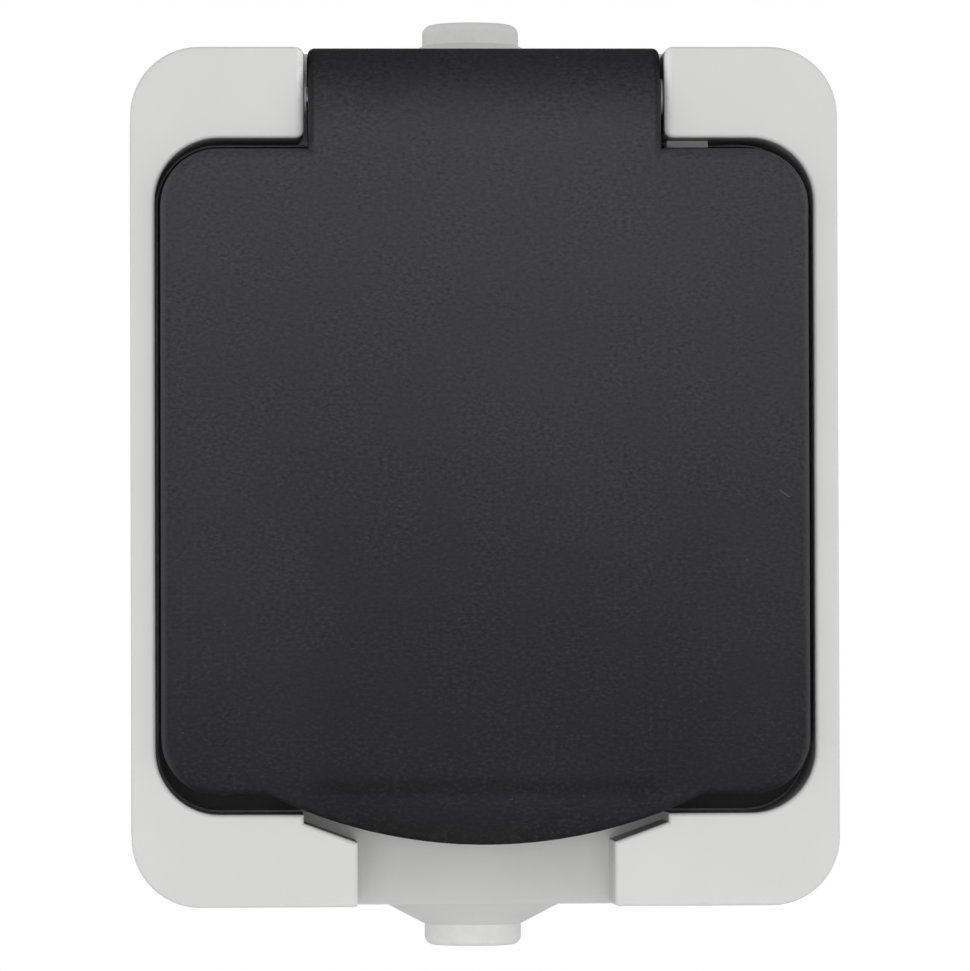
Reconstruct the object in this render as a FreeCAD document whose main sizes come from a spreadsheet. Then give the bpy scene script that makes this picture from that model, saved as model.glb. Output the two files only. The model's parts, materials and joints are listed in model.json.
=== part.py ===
import FreeCAD, Part
import math
import os
import re
import Sketcher

# A surface-mounted weatherproof wall socket with a sprung, hinged lid.
# The wall is the plane Y = 0 and the front looks along -Y. X is to the right and Z is up.
# The origin is the middle of the face that lies on the wall.
# A "depth" below is a distance from the wall, so a point at depth 10 has Y = -10.

SIZES = {
    # the outer form
    "body_width": 70.0,
    "body_height": 85.0,
    "body_corner": 6.8,
    "shell_wall": 2.0,
    "cover_draft": 0.7,
    "edge_round": 0.3,
    "front_round": 0.4,
    # the back box
    "box_inset": 0.2,
    "box_depth": 28.5,
    "box_floor": 2.5,
    "box_draft": 0.6,
    "tongue_wall": 1.0,
    "tongue_rise": 2.0,
    "joint_gap": 0.2,
    "seal_thick": 0.6,
    "wall_hole_side": 10.0,
    "wall_hole_end": 8.0,
    "wall_hole_radius": 2.25,
    "knockout_skin": 0.6,
    "wall_boss_radius": 4.6,
    "wall_boss_rise": 1.2,
    # the cable entries at the top and the bottom
    "entry_shift": 1.25,
    "entry_rise": 3.1,
    "entry_margin": 1.7,
    "grommet_radius": 5.0,
    "grommet_neck": 4.0,
    "grommet_rise": 2.2,
    "grommet_bore": 3.0,
    "grommet_skin": 0.9,
    "grommet_lip": 1.2,
    "grommet_round": 1.0,
    # the front cover
    "frame_side": 2.4,
    "frame_top": 9.0,
    "frame_bottom": 9.15,
    "recess_corner": 6.3,
    "recess_depth": 11.3,
    "ear_gap_half": 17.8,
    "ear_corner": 0.9,
    "pin_boss_radius": 1.8,
    "pin_boss_rise": 0.2,
    "pocket_depth": 10.5,
    "scoop_half_width": 12.7,
    "scoop_shoulder_gap": 1.1,
    "scoop_shoulder_drop": 0.85,
    "scoop_slant_drop": 2.8,
    "scoop_depth": 10.7,
    "rib_left": 18.4,
    "rib_right": 22.5,
    "rib_drop": 0.65,
    "rib_rise": 4.0,
    "core_wall": 2.0,
    # the cover screws and their pillars
    "screw_side": 8.5,
    "screw_end": 16.0,
    "screw_radius": 1.75,
    "screw_head_radius": 3.1,
    "screw_head_rise": 1.9,
    "screw_length": 20.0,
    "pillar_radius": 3.6,
    "thread_gap": 0.02,
    "hole_gap": 0.2,
    # the hinge
    "hinge_sink": 3.0,
    "hinge_drop": 4.8,
    "pin_radius": 1.0,
    "pin_grip": 3.2,
    "pin_gap": 0.05,
    "knuckle_gap": 0.35,
    "knuckle_foot": 3.0,
    "knuckle_front_round": 11.0,
    "knuckle_top_round": 0.8,
    "knuckle_back": 4.5,
    "knuckle_back_round": 0.9,
    "slot_half_width": 2.9,
    "slot_front": 2.2,
    "slot_rise": 2.9,
    "slot_round": 2.9,
    "slot_drop": 7.7,
    "slot_open": 0.9,
    # the spring
    "wire_radius": 0.25,
    "coil_radius": 1.5,
    "coil_pitch": 0.56,
    "coil_turns": 6.0,
    "leg_drop": 8.2,
    "catch_half_width": 2.6,
    "catch_thick": 1.0,
    "catch_reach": 1.6,
    # the lid
    "lid_rise": 1.5,
    "lid_plate": 2.0,
    "lid_side_gap": 0.55,
    "lid_top_gap": 1.1,
    "lid_bottom_gap": 1.85,
    "lid_skirt": 1.6,
    "lid_floor_gap": 0.8,
    "lid_round": 1.1,
    "knuckle_round": 0.7,
    "lip_round": 0.5,
    "lip_side": 10.8,
    "lip_reach": 4.9,
    "lip_thick": 2.6,
    "lip_tilt": 8.0,
    "lip_crease": 0.9,
    "gasket_radius": 20.5,
    "gasket_half_width": 0.8,
    "gasket_gap": 0.3,
    "gasket_rib": 1.2,
    "gasket_rib_rise": 3.0,
    # the insert: a plate over the recess floor with the plug well in its middle
    "insert_plate": 1.2,
    "insert_gap": 0.25,
    "well_radius": 19.5,
    "well_wall": 2.0,
    "mouth_sink": 6.5,
    "well_deep": 17.5,
    "well_floor": 3.0,
    "well_seal_radius": 24.5,
    "well_fit": 0.4,
    "well_seal_thick": 0.8,
    "well_seal_width": 2.0,
    "mouth_chamfer": 0.6,
    "guide_reach": 2.1,
    "guide_half_width": 2.3,
    "guide_short": 2.0,
    "pin_hole_across": 9.5,
    "pin_hole_radius": 2.7,
    "well_head_radius": 3.3,
    "well_head_sink": 2.0,
    "well_screw_length": 12.0,
    # the earth strap
    "strap_thick": 0.8,
    "strap_half_width": 2.4,
    "strap_arm": 17.4,
    "strap_rise": 15.0,
    "strap_bow": 1.2,
    "strap_slot_gap": 0.4,
    "terminal_gap": 0.5,
    "strap_end": 2.8,
    "terminal_half": 3.2,
    "terminal_rise": 5.0,
    "clamp_half": 3.2,
    "clamp_thick": 1.0,
    # the contacts and what carries them
    "carrier_half_width": 23.5,
    "carrier_half_height": 12.0,
    "carrier_rise": 3.5,
    "carrier_depth": 17.2,
    "carrier_wall": 1.6,
    "carrier_floor": 2.0,
    "carrier_corner": 3.0,
    "plate_thick": 1.5,
    "lug_across": 13.0,
    "lug_up": 15.5,
    "lug_radius": 4.0,
    "lug_corner": 3.0,
    "lug_thick": 3.0,
    "small_screw_radius": 1.45,
    "small_head_radius": 2.6,
    "small_head_rise": 1.6,
    "sleeve_radius": 3.4,
    "sleeve_wall": 0.85,
    "sleeve_sink": 2.2,
    "sleeve_slit": 0.9,
    "clip_wall": 0.5,
    "clip_width": 3.0,
    "block_across": 17.6,
    "block_half_width": 3.0,
    "block_half_height": 3.6,
    "block_sink": 6.0,
    "bar_thick": 1.2,
    "wire_hole_radius": 1.6,
    "terminal_screw_length": 6.0,
}

# Places that follow from the sizes. The depths are a stack from the wall to the front:
# box floor, contacts, their cover, the earth strap, the well's floor, the well and the lid.
PLACES = {
    "half_width": "body_width / 2",
    "half_height": "body_height / 2",
    "box_half_width": "half_width - box_inset",
    "box_half_height": "half_height - box_inset",
    "box_corner": "body_corner - box_inset",
    "inner_half_width": "box_half_width - shell_wall",
    "inner_half_height": "box_half_height - shell_wall",
    "inner_corner": "box_corner - shell_wall",
    "entry_depth": "box_depth / 2 + entry_shift",
    "entry_base_radius": "min(entry_depth; box_depth - entry_depth) - entry_margin",
    "carrier_back": "box_floor + carrier_rise",
    "contact_back": "carrier_back + carrier_floor",
    "carrier_face": "carrier_back + carrier_depth",
    "plate_face": "carrier_face + plate_thick",
    "well_back": "plate_face + strap_thick",
    "well_floor_face": "well_back + well_floor",
    "well_mouth": "well_floor_face + well_deep",
    "front_depth": "well_mouth + mouth_sink",
    "lid_front": "front_depth + lid_rise",
    "lid_inside": "lid_front - lid_plate",
    "cover_back": "box_depth + seal_thick",
    "tongue_top": "box_depth + tongue_rise",
    "recess_floor": "front_depth - recess_depth",
    "pocket_floor": "front_depth - pocket_depth",
    "scoop_floor": "front_depth - scoop_depth",
    "hollow_face": "min(recess_floor; pocket_floor; scoop_floor) - shell_wall",
    "recess_half_width": "half_width - frame_side",
    "recess_top": "half_height - frame_top",
    "recess_bottom": "half_height - frame_bottom",
    "insert_back": "recess_floor + well_seal_thick",
    "insert_face": "insert_back + insert_plate",
    "lid_back": "insert_face + lid_floor_gap",
    "lid_half_width": "recess_half_width - lid_side_gap",
    "lid_top": "recess_top - lid_top_gap",
    "lid_bottom": "recess_bottom - lid_bottom_gap",
    "lid_corner": "recess_corner - lid_side_gap",
    "lip_half_width": "lid_half_width - lip_side",
    "lip_radius": "(lip_half_width ^ 2 + lip_reach ^ 2) / (2 * lip_reach)",
    "scoop_shoulder_half":
        "sqrt(lip_radius ^ 2 - (lip_radius - lip_reach + lid_bottom_gap) ^ 2) + scoop_shoulder_gap",
    "well_outside": "well_radius + well_wall",
    "screw_across": "half_width - screw_side",
    "screw_up": "half_height - screw_end",
    "screw_tip": "insert_face - screw_length",
    "wall_hole_across": "half_width - wall_hole_side",
    "wall_hole_up": "half_height - wall_hole_end",
    "hinge_depth": "front_depth - hinge_sink",
    "hinge_up": "half_height - hinge_drop",
    "pin_half_length": "ear_gap_half + pin_grip",
    "knuckle_half_width": "ear_gap_half - knuckle_gap",
    "strap_terminal_up": "well_outside + clamp_half + terminal_gap",
    "strap_tail": "strap_terminal_up + strap_end",
    "sleeve_length": "carrier_face - contact_back - sleeve_sink",
    "block_rise": "carrier_face - contact_back - bar_thick - block_sink",
}

doc = FreeCAD.newDocument("weatherproof_socket")


def make_sheet():
    """Put every size and every place in a sheet, one row each, with its name as the alias."""
    made = doc.addObject("Spreadsheet::Sheet", "Sizes")
    rows = list(SIZES.items()) + [(name, f"={formula}") for name, formula in PLACES.items()]
    for row, (name, content) in enumerate(rows, 1):
        made.set(f"A{row}", name)
        made.setAlias(f"B{row}", name)
        made.set(f"B{row}", str(content))
    doc.recompute()
    return made


sheet = make_sheet()

def tied(expression):
    """Write the sheet's name before each alias in an expression."""
    known = {**SIZES, **PLACES}
    return re.sub(r"[a-z][a-z_]+", lambda word: f"Sizes.{word[0]}" if word[0] in known else word[0],
                  expression)


def value(expression):
    """What an expression comes to now, in millimetres."""
    return float(sheet.evalExpression(tied(expression)))


class Outline:
    """A sketch on one of a body's own origin planes, with every point tied to the sheet."""

    def __init__(self, body, name, plane="XZ_Plane", offset="0"):
        self.sketch = body.newObject("Sketcher::SketchObject", name)
        origin_plane = [part for part in body.Origin.OriginFeatures if part.Role == plane][0]
        self.sketch.AttachmentSupport = [(origin_plane, "")]
        self.sketch.MapMode = "FlatFace"
        self.sketch.setExpression("AttachmentOffset.Base.z", tied(offset))

    def fix(self, kind, geometry, point, expression):
        """Hold one coordinate of a point, or a radius, at an expression."""
        now = value(expression)
        if point is None:
            index = self.sketch.addConstraint(Sketcher.Constraint(kind, geometry, now))
        else:
            index = self.sketch.addConstraint(Sketcher.Constraint(kind, geometry, point, now))
        self.sketch.setExpression(f"Constraints[{index}]", tied(expression))

    def circle(self, across, up, radius):
        """A circle about a point."""
        centre = FreeCAD.Vector(value(across), value(up), 0)
        index = self.sketch.addGeometry(Part.Circle(centre, FreeCAD.Vector(0, 0, 1), value(radius)), False)
        self.fix("Radius", index, None, radius)
        self.fix("DistanceX", index, 3, across)
        self.fix("DistanceY", index, 3, up)
        return self

    def axis(self, across, low, high):
        """An upright construction line to turn a profile about."""
        ends = [FreeCAD.Vector(value(across), value(end), 0) for end in (low, high)]
        index = self.sketch.addGeometry(Part.LineSegment(*ends), True)
        for point, end in ((1, low), (2, high)):
            self.fix("DistanceX", index, point, across)
            self.fix("DistanceY", index, point, end)
        return self

    def closed(self, corners):
        """A closed outline through corners (across, up) or square corners (across, up, radius).

        A corner (across, up, "arc", radius) is the start of an arc that bulges to the right of
        the way round and ends at the next corner.
        """
        places = [FreeCAD.Vector(value(corner[0]), value(corner[1]), 0) for corner in corners]
        stations = []
        for index, corner in enumerate(corners):
            here = places[index]
            if len(corner) == 3:
                before = self.sides(places[index - 1] - here)
                after = self.sides(places[(index + 1) % len(places)] - here)
                stations.append((self.moved(corner, before), corner[2], "round"))
                stations.append((self.moved(corner, after), None, None))
            elif len(corner) == 4:
                stations.append((corner[:2], corner[3], "bulge"))
            else:
                stations.append((corner[:2], None, None))
        self.join(stations)
        return self

    def sides(self, way):
        """The direction of an upright or level edge, as a step of one in x and y."""
        if abs(way.x) > abs(way.y):
            return (int(math.copysign(1, way.x)), 0)
        return (0, int(math.copysign(1, way.y)))

    def moved(self, corner, step):
        """A corner moved along one of its edges by its own radius."""
        across, up, radius = corner
        signs = {1: "+", -1: "-"}
        if step[0]:
            return (f"{across} {signs[step[0]]} ({radius})", up)
        return (across, f"{up} {signs[step[1]]} ({radius})")

    def join(self, stations):
        """Draw the edges from station to station and hold them."""
        count = len(stations)
        points = [FreeCAD.Vector(value(place[0]), value(place[1]), 0) for place, _, _ in stations]
        edges = []
        for index, (place, radius, kind) in enumerate(stations):
            start, end = points[index], points[(index + 1) % count]
            if kind is None:
                edges.append((self.sketch.addGeometry(Part.LineSegment(start, end), False), 1, 2))
                continue
            turn = self.turning(points, index, kind)
            edges.append(self.arc(start, end, value(radius), turn))
            self.fix("Radius", edges[-1][0], None, radius)
        for index, (geometry, first, last) in enumerate(edges):
            following = edges[(index + 1) % count]
            joint = Sketcher.Constraint("Coincident", geometry, last, following[0], following[1])
            self.sketch.addConstraint(joint)
            place = stations[index][0]
            self.fix("DistanceX", geometry, first, place[0])
            self.fix("DistanceY", geometry, first, place[1])

    def turning(self, points, index, kind):
        """Whether the arc from a station turns to the left (1) or to the right (-1)."""
        count = len(points)
        if kind == "bulge":
            return 1
        into = points[index] - points[index - 1]
        chord = points[(index + 1) % count] - points[index]
        return 1 if into.x * chord.y - into.y * chord.x > 0 else -1

    def arc(self, start, end, radius, turn):
        """An arc of a given radius; returns its number and its first and last point."""
        chord = end - start
        half = chord.Length / 2
        rise = math.sqrt(max(radius * radius - half * half, 0))
        across = FreeCAD.Vector(-chord.y, chord.x, 0) * (turn / chord.Length)
        centre = (start + end) * 0.5 + across * rise
        circle = Part.Circle(centre, FreeCAD.Vector(0, 0, 1), radius)
        angles = [math.atan2(point.y - centre.y, point.x - centre.x) for point in (start, end)]
        if turn > 0:
            return self.sketch.addGeometry(Part.ArcOfCircle(circle, angles[0], angles[1]), False), 1, 2
        return self.sketch.addGeometry(Part.ArcOfCircle(circle, angles[1], angles[0]), False), 2, 1

    def rounded(self, left, right, bottom, top, radius):
        """A rectangle with four round corners."""
        return self.closed([(left, bottom, radius), (right, bottom, radius),
                            (right, top, radius), (left, top, radius)])

    def box(self, left, right, bottom, top):
        """A plain rectangle."""
        return self.closed([(left, bottom), (right, bottom), (right, top), (left, top)])


def new_body(label):
    """A body for one piece of the socket."""
    body = doc.addObject("PartDesign::Body", label)
    body.Label = label
    return body


def settled(feature):
    """Work a feature out, and stop if it or its outline failed."""
    doc.recompute()
    for made in (feature, feature.Profile[0] if hasattr(feature, "Profile") else feature.Base[0]):
        if "Invalid" in made.State or "Error" in made.State or "Touched" in made.State:
            raise RuntimeError(f"{made.Name} failed: {made.State}")
    return feature


def pad(body, outline, length, taper="0", reverse=False, both=False):
    """Add an outline's prism; towards the front where it lies on the wall's plane."""
    feature = body.newObject("PartDesign::Pad", outline.sketch.Name + "_pad")
    feature.Profile = outline.sketch
    feature.setExpression("Length", tied(length))
    feature.setExpression("TaperAngle", tied(taper))
    feature.Reversed = reverse
    feature.Midplane = both
    return settled(feature)


def pocket(body, outline, length, reverse=False, both=False):
    """Cut an outline's prism; towards the wall, or towards the front when reversed."""
    before = body.Shape.Volume
    feature = body.newObject("PartDesign::Pocket", outline.sketch.Name + "_pocket")
    feature.Profile = outline.sketch
    feature.setExpression("Length", tied(length))
    feature.Reversed = reverse
    feature.Midplane = both
    settled(feature)
    if body.Shape.Volume >= before:
        raise RuntimeError(f"{feature.Name} cuts nothing")
    return feature


def turned(body, outline, kind="PartDesign::Revolution", axis="V_Axis"):
    """Turn an outline all the way round an upright line of its own sketch."""
    feature = body.newObject(kind, outline.sketch.Name + "_turned")
    feature.Profile = outline.sketch
    feature.ReferenceAxis = (outline.sketch, [axis])
    feature.Angle = 360
    return settled(feature)


def rounded_edges(body, name, radius, chosen):
    """Round the edges that a test picks."""
    return dressed_edges(body, name, "PartDesign::Fillet", "Radius", radius, chosen)


def bevelled_edges(body, name, size, chosen):
    """Bevel the edges that a test picks."""
    return dressed_edges(body, name, "PartDesign::Chamfer", "Size", size, chosen)


def dressed_edges(body, name, kind, key, size, chosen):
    """Round or bevel the edges of a body that a test picks."""
    base = body.Tip
    names = [f"Edge{index}" for index, edge in enumerate(base.Shape.Edges, 1) if chosen(edge)]
    if not names:
        raise RuntimeError(f"{name} has no edge to work on")
    feature = body.newObject(kind, name)
    feature.Base = (base, names)
    feature.setExpression(key, tied(size))
    return settled(feature)


def at_depth(edge, expression):
    """Whether an edge lies in the plane at a depth."""
    depth = value(expression)
    return max(abs(edge.BoundBox.YMin + depth), abs(edge.BoundBox.YMax + depth)) < 0.01


def back_box():
    """The tray on the wall: four knock-out screw holes, two cable entries, a tongue and pillars."""
    body = new_body("back_box")
    outer = Outline(body, "box_outer")
    outer.rounded("-box_half_width", "box_half_width", "-box_half_height", "box_half_height", "box_corner")
    pad(body, outer, "box_depth", taper="box_draft")
    for sign, end in (("", "top"), ("-", "bottom")):
        cone = Outline(body, f"entry_{end}", "YZ_Plane")
        inside = f"{sign}inner_half_height"
        tip = f"{sign}(half_height + entry_rise)"
        wall = f"{sign}box_half_height"
        cone.axis("-entry_depth", inside, tip)
        cone.closed([("-entry_depth", inside), ("-entry_depth - entry_base_radius", inside),
                     ("-entry_depth - entry_base_radius", wall), ("-entry_depth - grommet_radius", tip),
                     ("-entry_depth", tip)])
        turned(body, cone, axis="Axis0")
    inner = Outline(body, "box_inner", offset="box_depth")
    inner.rounded("-inner_half_width", "inner_half_width", "-inner_half_height", "inner_half_height",
                  "inner_corner")
    pocket(body, inner, "box_depth - box_floor")
    tongue = Outline(body, "tongue", offset="box_depth")
    tongue.rounded("-inner_half_width", "inner_half_width", "-inner_half_height", "inner_half_height",
                   "inner_corner")
    tongue.rounded("-inner_half_width - tongue_wall", "inner_half_width + tongue_wall",
                   "-inner_half_height - tongue_wall", "inner_half_height + tongue_wall",
                   "inner_corner + tongue_wall")
    pad(body, tongue, "tongue_rise")
    bosses = Outline(body, "wall_bosses", offset="box_floor")
    for across in ("-wall_hole_across", "wall_hole_across"):
        for up in ("-wall_hole_up", "wall_hole_up"):
            bosses.circle(across, up, "wall_boss_radius")
    pad(body, bosses, "wall_boss_rise")
    holes = Outline(body, "wall_holes")
    for across in ("-wall_hole_across", "wall_hole_across"):
        for up in ("-wall_hole_up", "wall_hole_up"):
            holes.circle(across, up, "wall_hole_radius")
    pocket(body, holes, "box_floor + wall_boss_rise - knockout_skin", reverse=True)
    pillars = Outline(body, "pillars", offset="box_floor")
    pillars.circle("-screw_across", "screw_up", "pillar_radius")
    pillars.circle("screw_across", "-screw_up", "pillar_radius")
    pad(body, pillars, "box_depth - box_floor")
    threads = Outline(body, "pillar_threads", offset="box_depth")
    threads.circle("-screw_across", "screw_up", "screw_radius + thread_gap")
    threads.circle("screw_across", "-screw_up", "screw_radius + thread_gap")
    pocket(body, threads, "box_depth - screw_tip + shell_wall")
    seats = Outline(body, "carrier_seats", offset="box_floor")
    seats.circle("-lug_across", "lug_up", "lug_radius")
    seats.circle("lug_across", "-lug_up", "lug_radius")
    pad(body, seats, "carrier_back - box_floor")
    seat_threads = Outline(body, "seat_threads", offset="carrier_back")
    seat_threads.circle("-lug_across", "lug_up", "small_screw_radius + thread_gap")
    seat_threads.circle("lug_across", "-lug_up", "small_screw_radius + thread_gap")
    pocket(body, seat_threads, "carrier_back - box_floor / 3")
    entries = Outline(body, "entry_holes", "XY_Plane", "half_height + 2 * entry_rise")
    entries.circle("0", "-entry_depth", "grommet_neck + thread_gap")
    pocket(body, entries, "body_height + 4 * entry_rise")
    return body


def on_ear_corner(edge):
    """Whether an edge is an upright corner of a hinge ear's inner side."""
    box = edge.BoundBox
    gap = value("ear_gap_half")
    beside = max(abs(abs(box.XMin) - gap), abs(abs(box.XMax) - gap)) < 0.01
    along = box.YLength > value("pocket_depth") / 2 and box.ZLength < value("ear_corner")
    return beside and along and box.ZMin > value("recess_top - ear_corner")


def on_recess_rim(edge):
    """Whether an edge is where the front face meets the recess, an ear's inner side or the scoop."""
    box = edge.BoundBox
    across = max(abs(box.XMin), abs(box.XMax))
    up = max(abs(box.ZMin), abs(box.ZMax))
    margin = value("edge_round + thread_gap")
    outer = across > value("half_width") - margin
    level = up > value("half_height") - margin and box.XLength > value("2 * ear_corner")
    return at_depth(edge, "front_depth") and not outer and not level


def front_cover():
    """The front shell: the framed recess for the lid, two hinge ears, the finger scoop and sleeves."""
    body = new_body("front_cover")
    outer = Outline(body, "cover_outer", offset="front_depth")
    outer.rounded("-half_width", "half_width", "-half_height", "half_height", "body_corner")
    pad(body, outer, "front_depth - cover_back", taper="cover_draft", reverse=True)
    rounded_edges(body, "cover_edge_round", "edge_round", lambda edge: at_depth(edge, "front_depth"))
    hollow = Outline(body, "cover_hollow", offset="cover_back")
    hollow.rounded("-inner_half_width", "inner_half_width", "-inner_half_height", "inner_half_height",
                   "inner_corner")
    pocket(body, hollow, "hollow_face - cover_back", reverse=True)
    cores = Outline(body, "cover_cores", offset="cover_back")
    cores.box("-half_width + 2 * core_wall", "-ear_gap_half - 2 * core_wall", "recess_top + core_wall",
              "half_height - 1.5 * core_wall")
    cores.box("ear_gap_half + 2 * core_wall", "half_width - 2 * core_wall", "recess_top + core_wall",
              "half_height - 1.5 * core_wall")
    cores.box("-half_width + 2 * core_wall", "-scoop_shoulder_half - core_wall",
              "-half_height + 1.5 * core_wall", "-recess_bottom - core_wall")
    cores.box("scoop_shoulder_half + core_wall", "half_width - 2 * core_wall",
              "-half_height + 1.5 * core_wall", "-recess_bottom - core_wall")
    pocket(body, cores, "front_depth - core_wall - cover_back", reverse=True)
    rebate = Outline(body, "cover_rebate", offset="cover_back")
    reach = "(tongue_wall + joint_gap)"
    rebate.rounded(f"-inner_half_width - {reach}", f"inner_half_width + {reach}",
                   f"-inner_half_height - {reach}", f"inner_half_height + {reach}",
                   f"inner_corner + {reach}")
    pocket(body, rebate, "tongue_rise - seal_thick + joint_gap", reverse=True)
    recess = Outline(body, "recess", offset="front_depth")
    recess.rounded("-recess_half_width", "recess_half_width", "-recess_bottom", "recess_top", "recess_corner")
    pocket(body, recess, "recess_depth")
    gap = Outline(body, "hinge_pocket", offset="front_depth")
    gap.box("-ear_gap_half", "ear_gap_half", "recess_top - recess_corner", "half_height + shell_wall")
    pocket(body, gap, "pocket_depth")
    scoop = Outline(body, "scoop", offset="front_depth")
    scoop.closed([("-scoop_shoulder_half", "-recess_bottom + lid_bottom_gap"),
                  ("-scoop_shoulder_half", "-recess_bottom - scoop_shoulder_drop"),
                  ("-scoop_half_width", "-recess_bottom - scoop_slant_drop"),
                  ("-scoop_half_width", "-half_height - shell_wall"),
                  ("scoop_half_width", "-half_height - shell_wall"),
                  ("scoop_half_width", "-recess_bottom - scoop_slant_drop"),
                  ("scoop_shoulder_half", "-recess_bottom - scoop_shoulder_drop"),
                  ("scoop_shoulder_half", "-recess_bottom + lid_bottom_gap")])
    pocket(body, scoop, "scoop_depth")
    rounded_edges(body, "ear_corners", "ear_corner", on_ear_corner)
    rounded_edges(body, "cover_front_round", "front_round", on_recess_rim)
    mouth = Outline(body, "well_opening", offset="recess_floor")
    mouth.circle("0", "0", "well_outside + well_fit")
    pocket(body, mouth, "recess_floor - cover_back")
    sleeves = Outline(body, "sleeves", offset="tongue_top")
    sleeves.circle("-screw_across", "screw_up", "pillar_radius")
    sleeves.circle("screw_across", "-screw_up", "pillar_radius")
    pad(body, sleeves, "hollow_face - tongue_top")
    holes = Outline(body, "screw_holes", offset="recess_floor")
    holes.circle("-screw_across", "screw_up", "screw_radius + hole_gap")
    holes.circle("screw_across", "-screw_up", "screw_radius + hole_gap")
    pocket(body, holes, "recess_floor - cover_back")
    rib = Outline(body, "stop_rib", offset="insert_face + joint_gap")
    rib.box("rib_left", "rib_right", "recess_top - rib_drop", "recess_top + rib_drop")
    pad(body, rib, "rib_rise")
    for side, name in (("-", "left"), ("", "right")):
        boss = Outline(body, f"pin_boss_{name}", "YZ_Plane", f"{side}(ear_gap_half - pin_boss_rise)")
        boss.circle("-hinge_depth", "hinge_up", "pin_boss_radius")
        pad(body, boss, "pin_boss_rise + shell_wall / 2", reverse=side == "-")
    bore = Outline(body, "pin_bore", "YZ_Plane", "pin_half_length + pin_gap")
    bore.circle("-hinge_depth", "hinge_up", "pin_radius + thread_gap")
    pocket(body, bore, "pin_half_length + half_width + shell_wall")
    return body


def box_seal():
    """The flat rubber frame between the box's shoulder and the cover's back edge."""
    body = new_body("box_seal")
    ring = Outline(body, "seal_ring", offset="box_depth")
    ring.rounded("-box_half_width", "box_half_width", "-box_half_height", "box_half_height", "box_corner")
    reach = "(tongue_wall + joint_gap)"
    ring.rounded(f"-inner_half_width - {reach}", f"inner_half_width + {reach}",
                 f"-inner_half_height - {reach}", f"inner_half_height + {reach}",
                 f"inner_corner + {reach}")
    pad(body, ring, "seal_thick")
    return body


def screws(label, places, seat, shank, shank_radius, head_radius, head_rise):
    """Pan-head screws that point at the wall, each a solid of its own, with crossed slots."""
    body = new_body(label)
    heads = Outline(body, f"{label}_heads", offset=seat)
    for across, up in places:
        heads.circle(across, up, head_radius)
    pad(body, heads, head_rise)
    bevelled_edges(body, f"{label}_crown", f"{head_rise} / 3",
                   lambda edge: at_depth(edge, f"{seat} + {head_rise}"))
    shanks = Outline(body, f"{label}_shanks", offset=seat)
    for across, up in places:
        shanks.circle(across, up, shank_radius)
    pad(body, shanks, shank, reverse=True)
    for number, (across, up) in enumerate(places):
        slots = Outline(body, f"{label}_slots_{number}", offset=f"{seat} + {head_rise}")
        arm, width = f"{head_radius} * 0.62", f"{head_radius} * 0.14"
        slots.closed([(f"{across} - {arm}", f"{up} - {width}"), (f"{across} - {width}", f"{up} - {width}"),
                      (f"{across} - {width}", f"{up} - {arm}"), (f"{across} + {width}", f"{up} - {arm}"),
                      (f"{across} + {width}", f"{up} - {width}"), (f"{across} + {arm}", f"{up} - {width}"),
                      (f"{across} + {arm}", f"{up} + {width}"), (f"{across} + {width}", f"{up} + {width}"),
                      (f"{across} + {width}", f"{up} + {arm}"), (f"{across} - {width}", f"{up} + {arm}"),
                      (f"{across} - {width}", f"{up} + {width}"), (f"{across} - {arm}", f"{up} + {width}")])
        pocket(body, slots, f"{head_rise} * 0.7")
    return body


def socket_insert():
    """The insert: a plate over the recess floor and the round wall of the plug well with its rim."""
    body = new_body("socket_insert")
    profile = Outline(body, "well_profile", "XY_Plane")
    profile.closed([("well_radius", "-well_floor_face"), ("well_outside", "-well_floor_face"),
                    ("well_outside", "-well_mouth"), ("well_radius + mouth_chamfer", "-well_mouth"),
                    ("well_radius", "-well_mouth + mouth_chamfer")])
    turned(body, profile)
    plate = Outline(body, "insert_outline", offset="insert_back")
    plate.rounded("-recess_half_width + insert_gap", "recess_half_width - insert_gap",
                  "-recess_bottom + insert_gap", "recess_top - insert_gap", "recess_corner - insert_gap")
    plate.circle("0", "0", "well_radius + well_wall / 2")
    pad(body, plate, "insert_plate")
    for side, name in (("-", "left"), ("", "right")):
        rib = Outline(body, f"guide_{name}", offset="well_floor_face")
        inner, outer = f"{side}(well_radius - guide_reach)", f"{side}(well_radius + well_wall / 2)"
        rib.box(inner, outer, "-guide_half_width", "guide_half_width")
        pad(body, rib, "well_deep - guide_short")
    catch = Outline(body, "spring_catch", "YZ_Plane")
    low = "hinge_up - leg_drop"
    catch.closed([("-insert_face", f"{low} - catch_thick - catch_reach"),
                  ("-insert_face - catch_reach - catch_thick", f"{low} - catch_thick - catch_reach"),
                  ("-insert_face - catch_reach - catch_thick", low),
                  ("-insert_face - catch_reach", low),
                  ("-insert_face - catch_reach", f"{low} - catch_reach"),
                  ("-insert_face", f"{low} - catch_reach")])
    pad(body, catch, "2 * catch_half_width", both=True)
    screw_holes = Outline(body, "insert_screw_holes", offset="insert_face")
    screw_holes.circle("-screw_across", "screw_up", "screw_radius + hole_gap")
    screw_holes.circle("screw_across", "-screw_up", "screw_radius + hole_gap")
    pocket(body, screw_holes, "2 * insert_plate")
    return body


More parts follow.
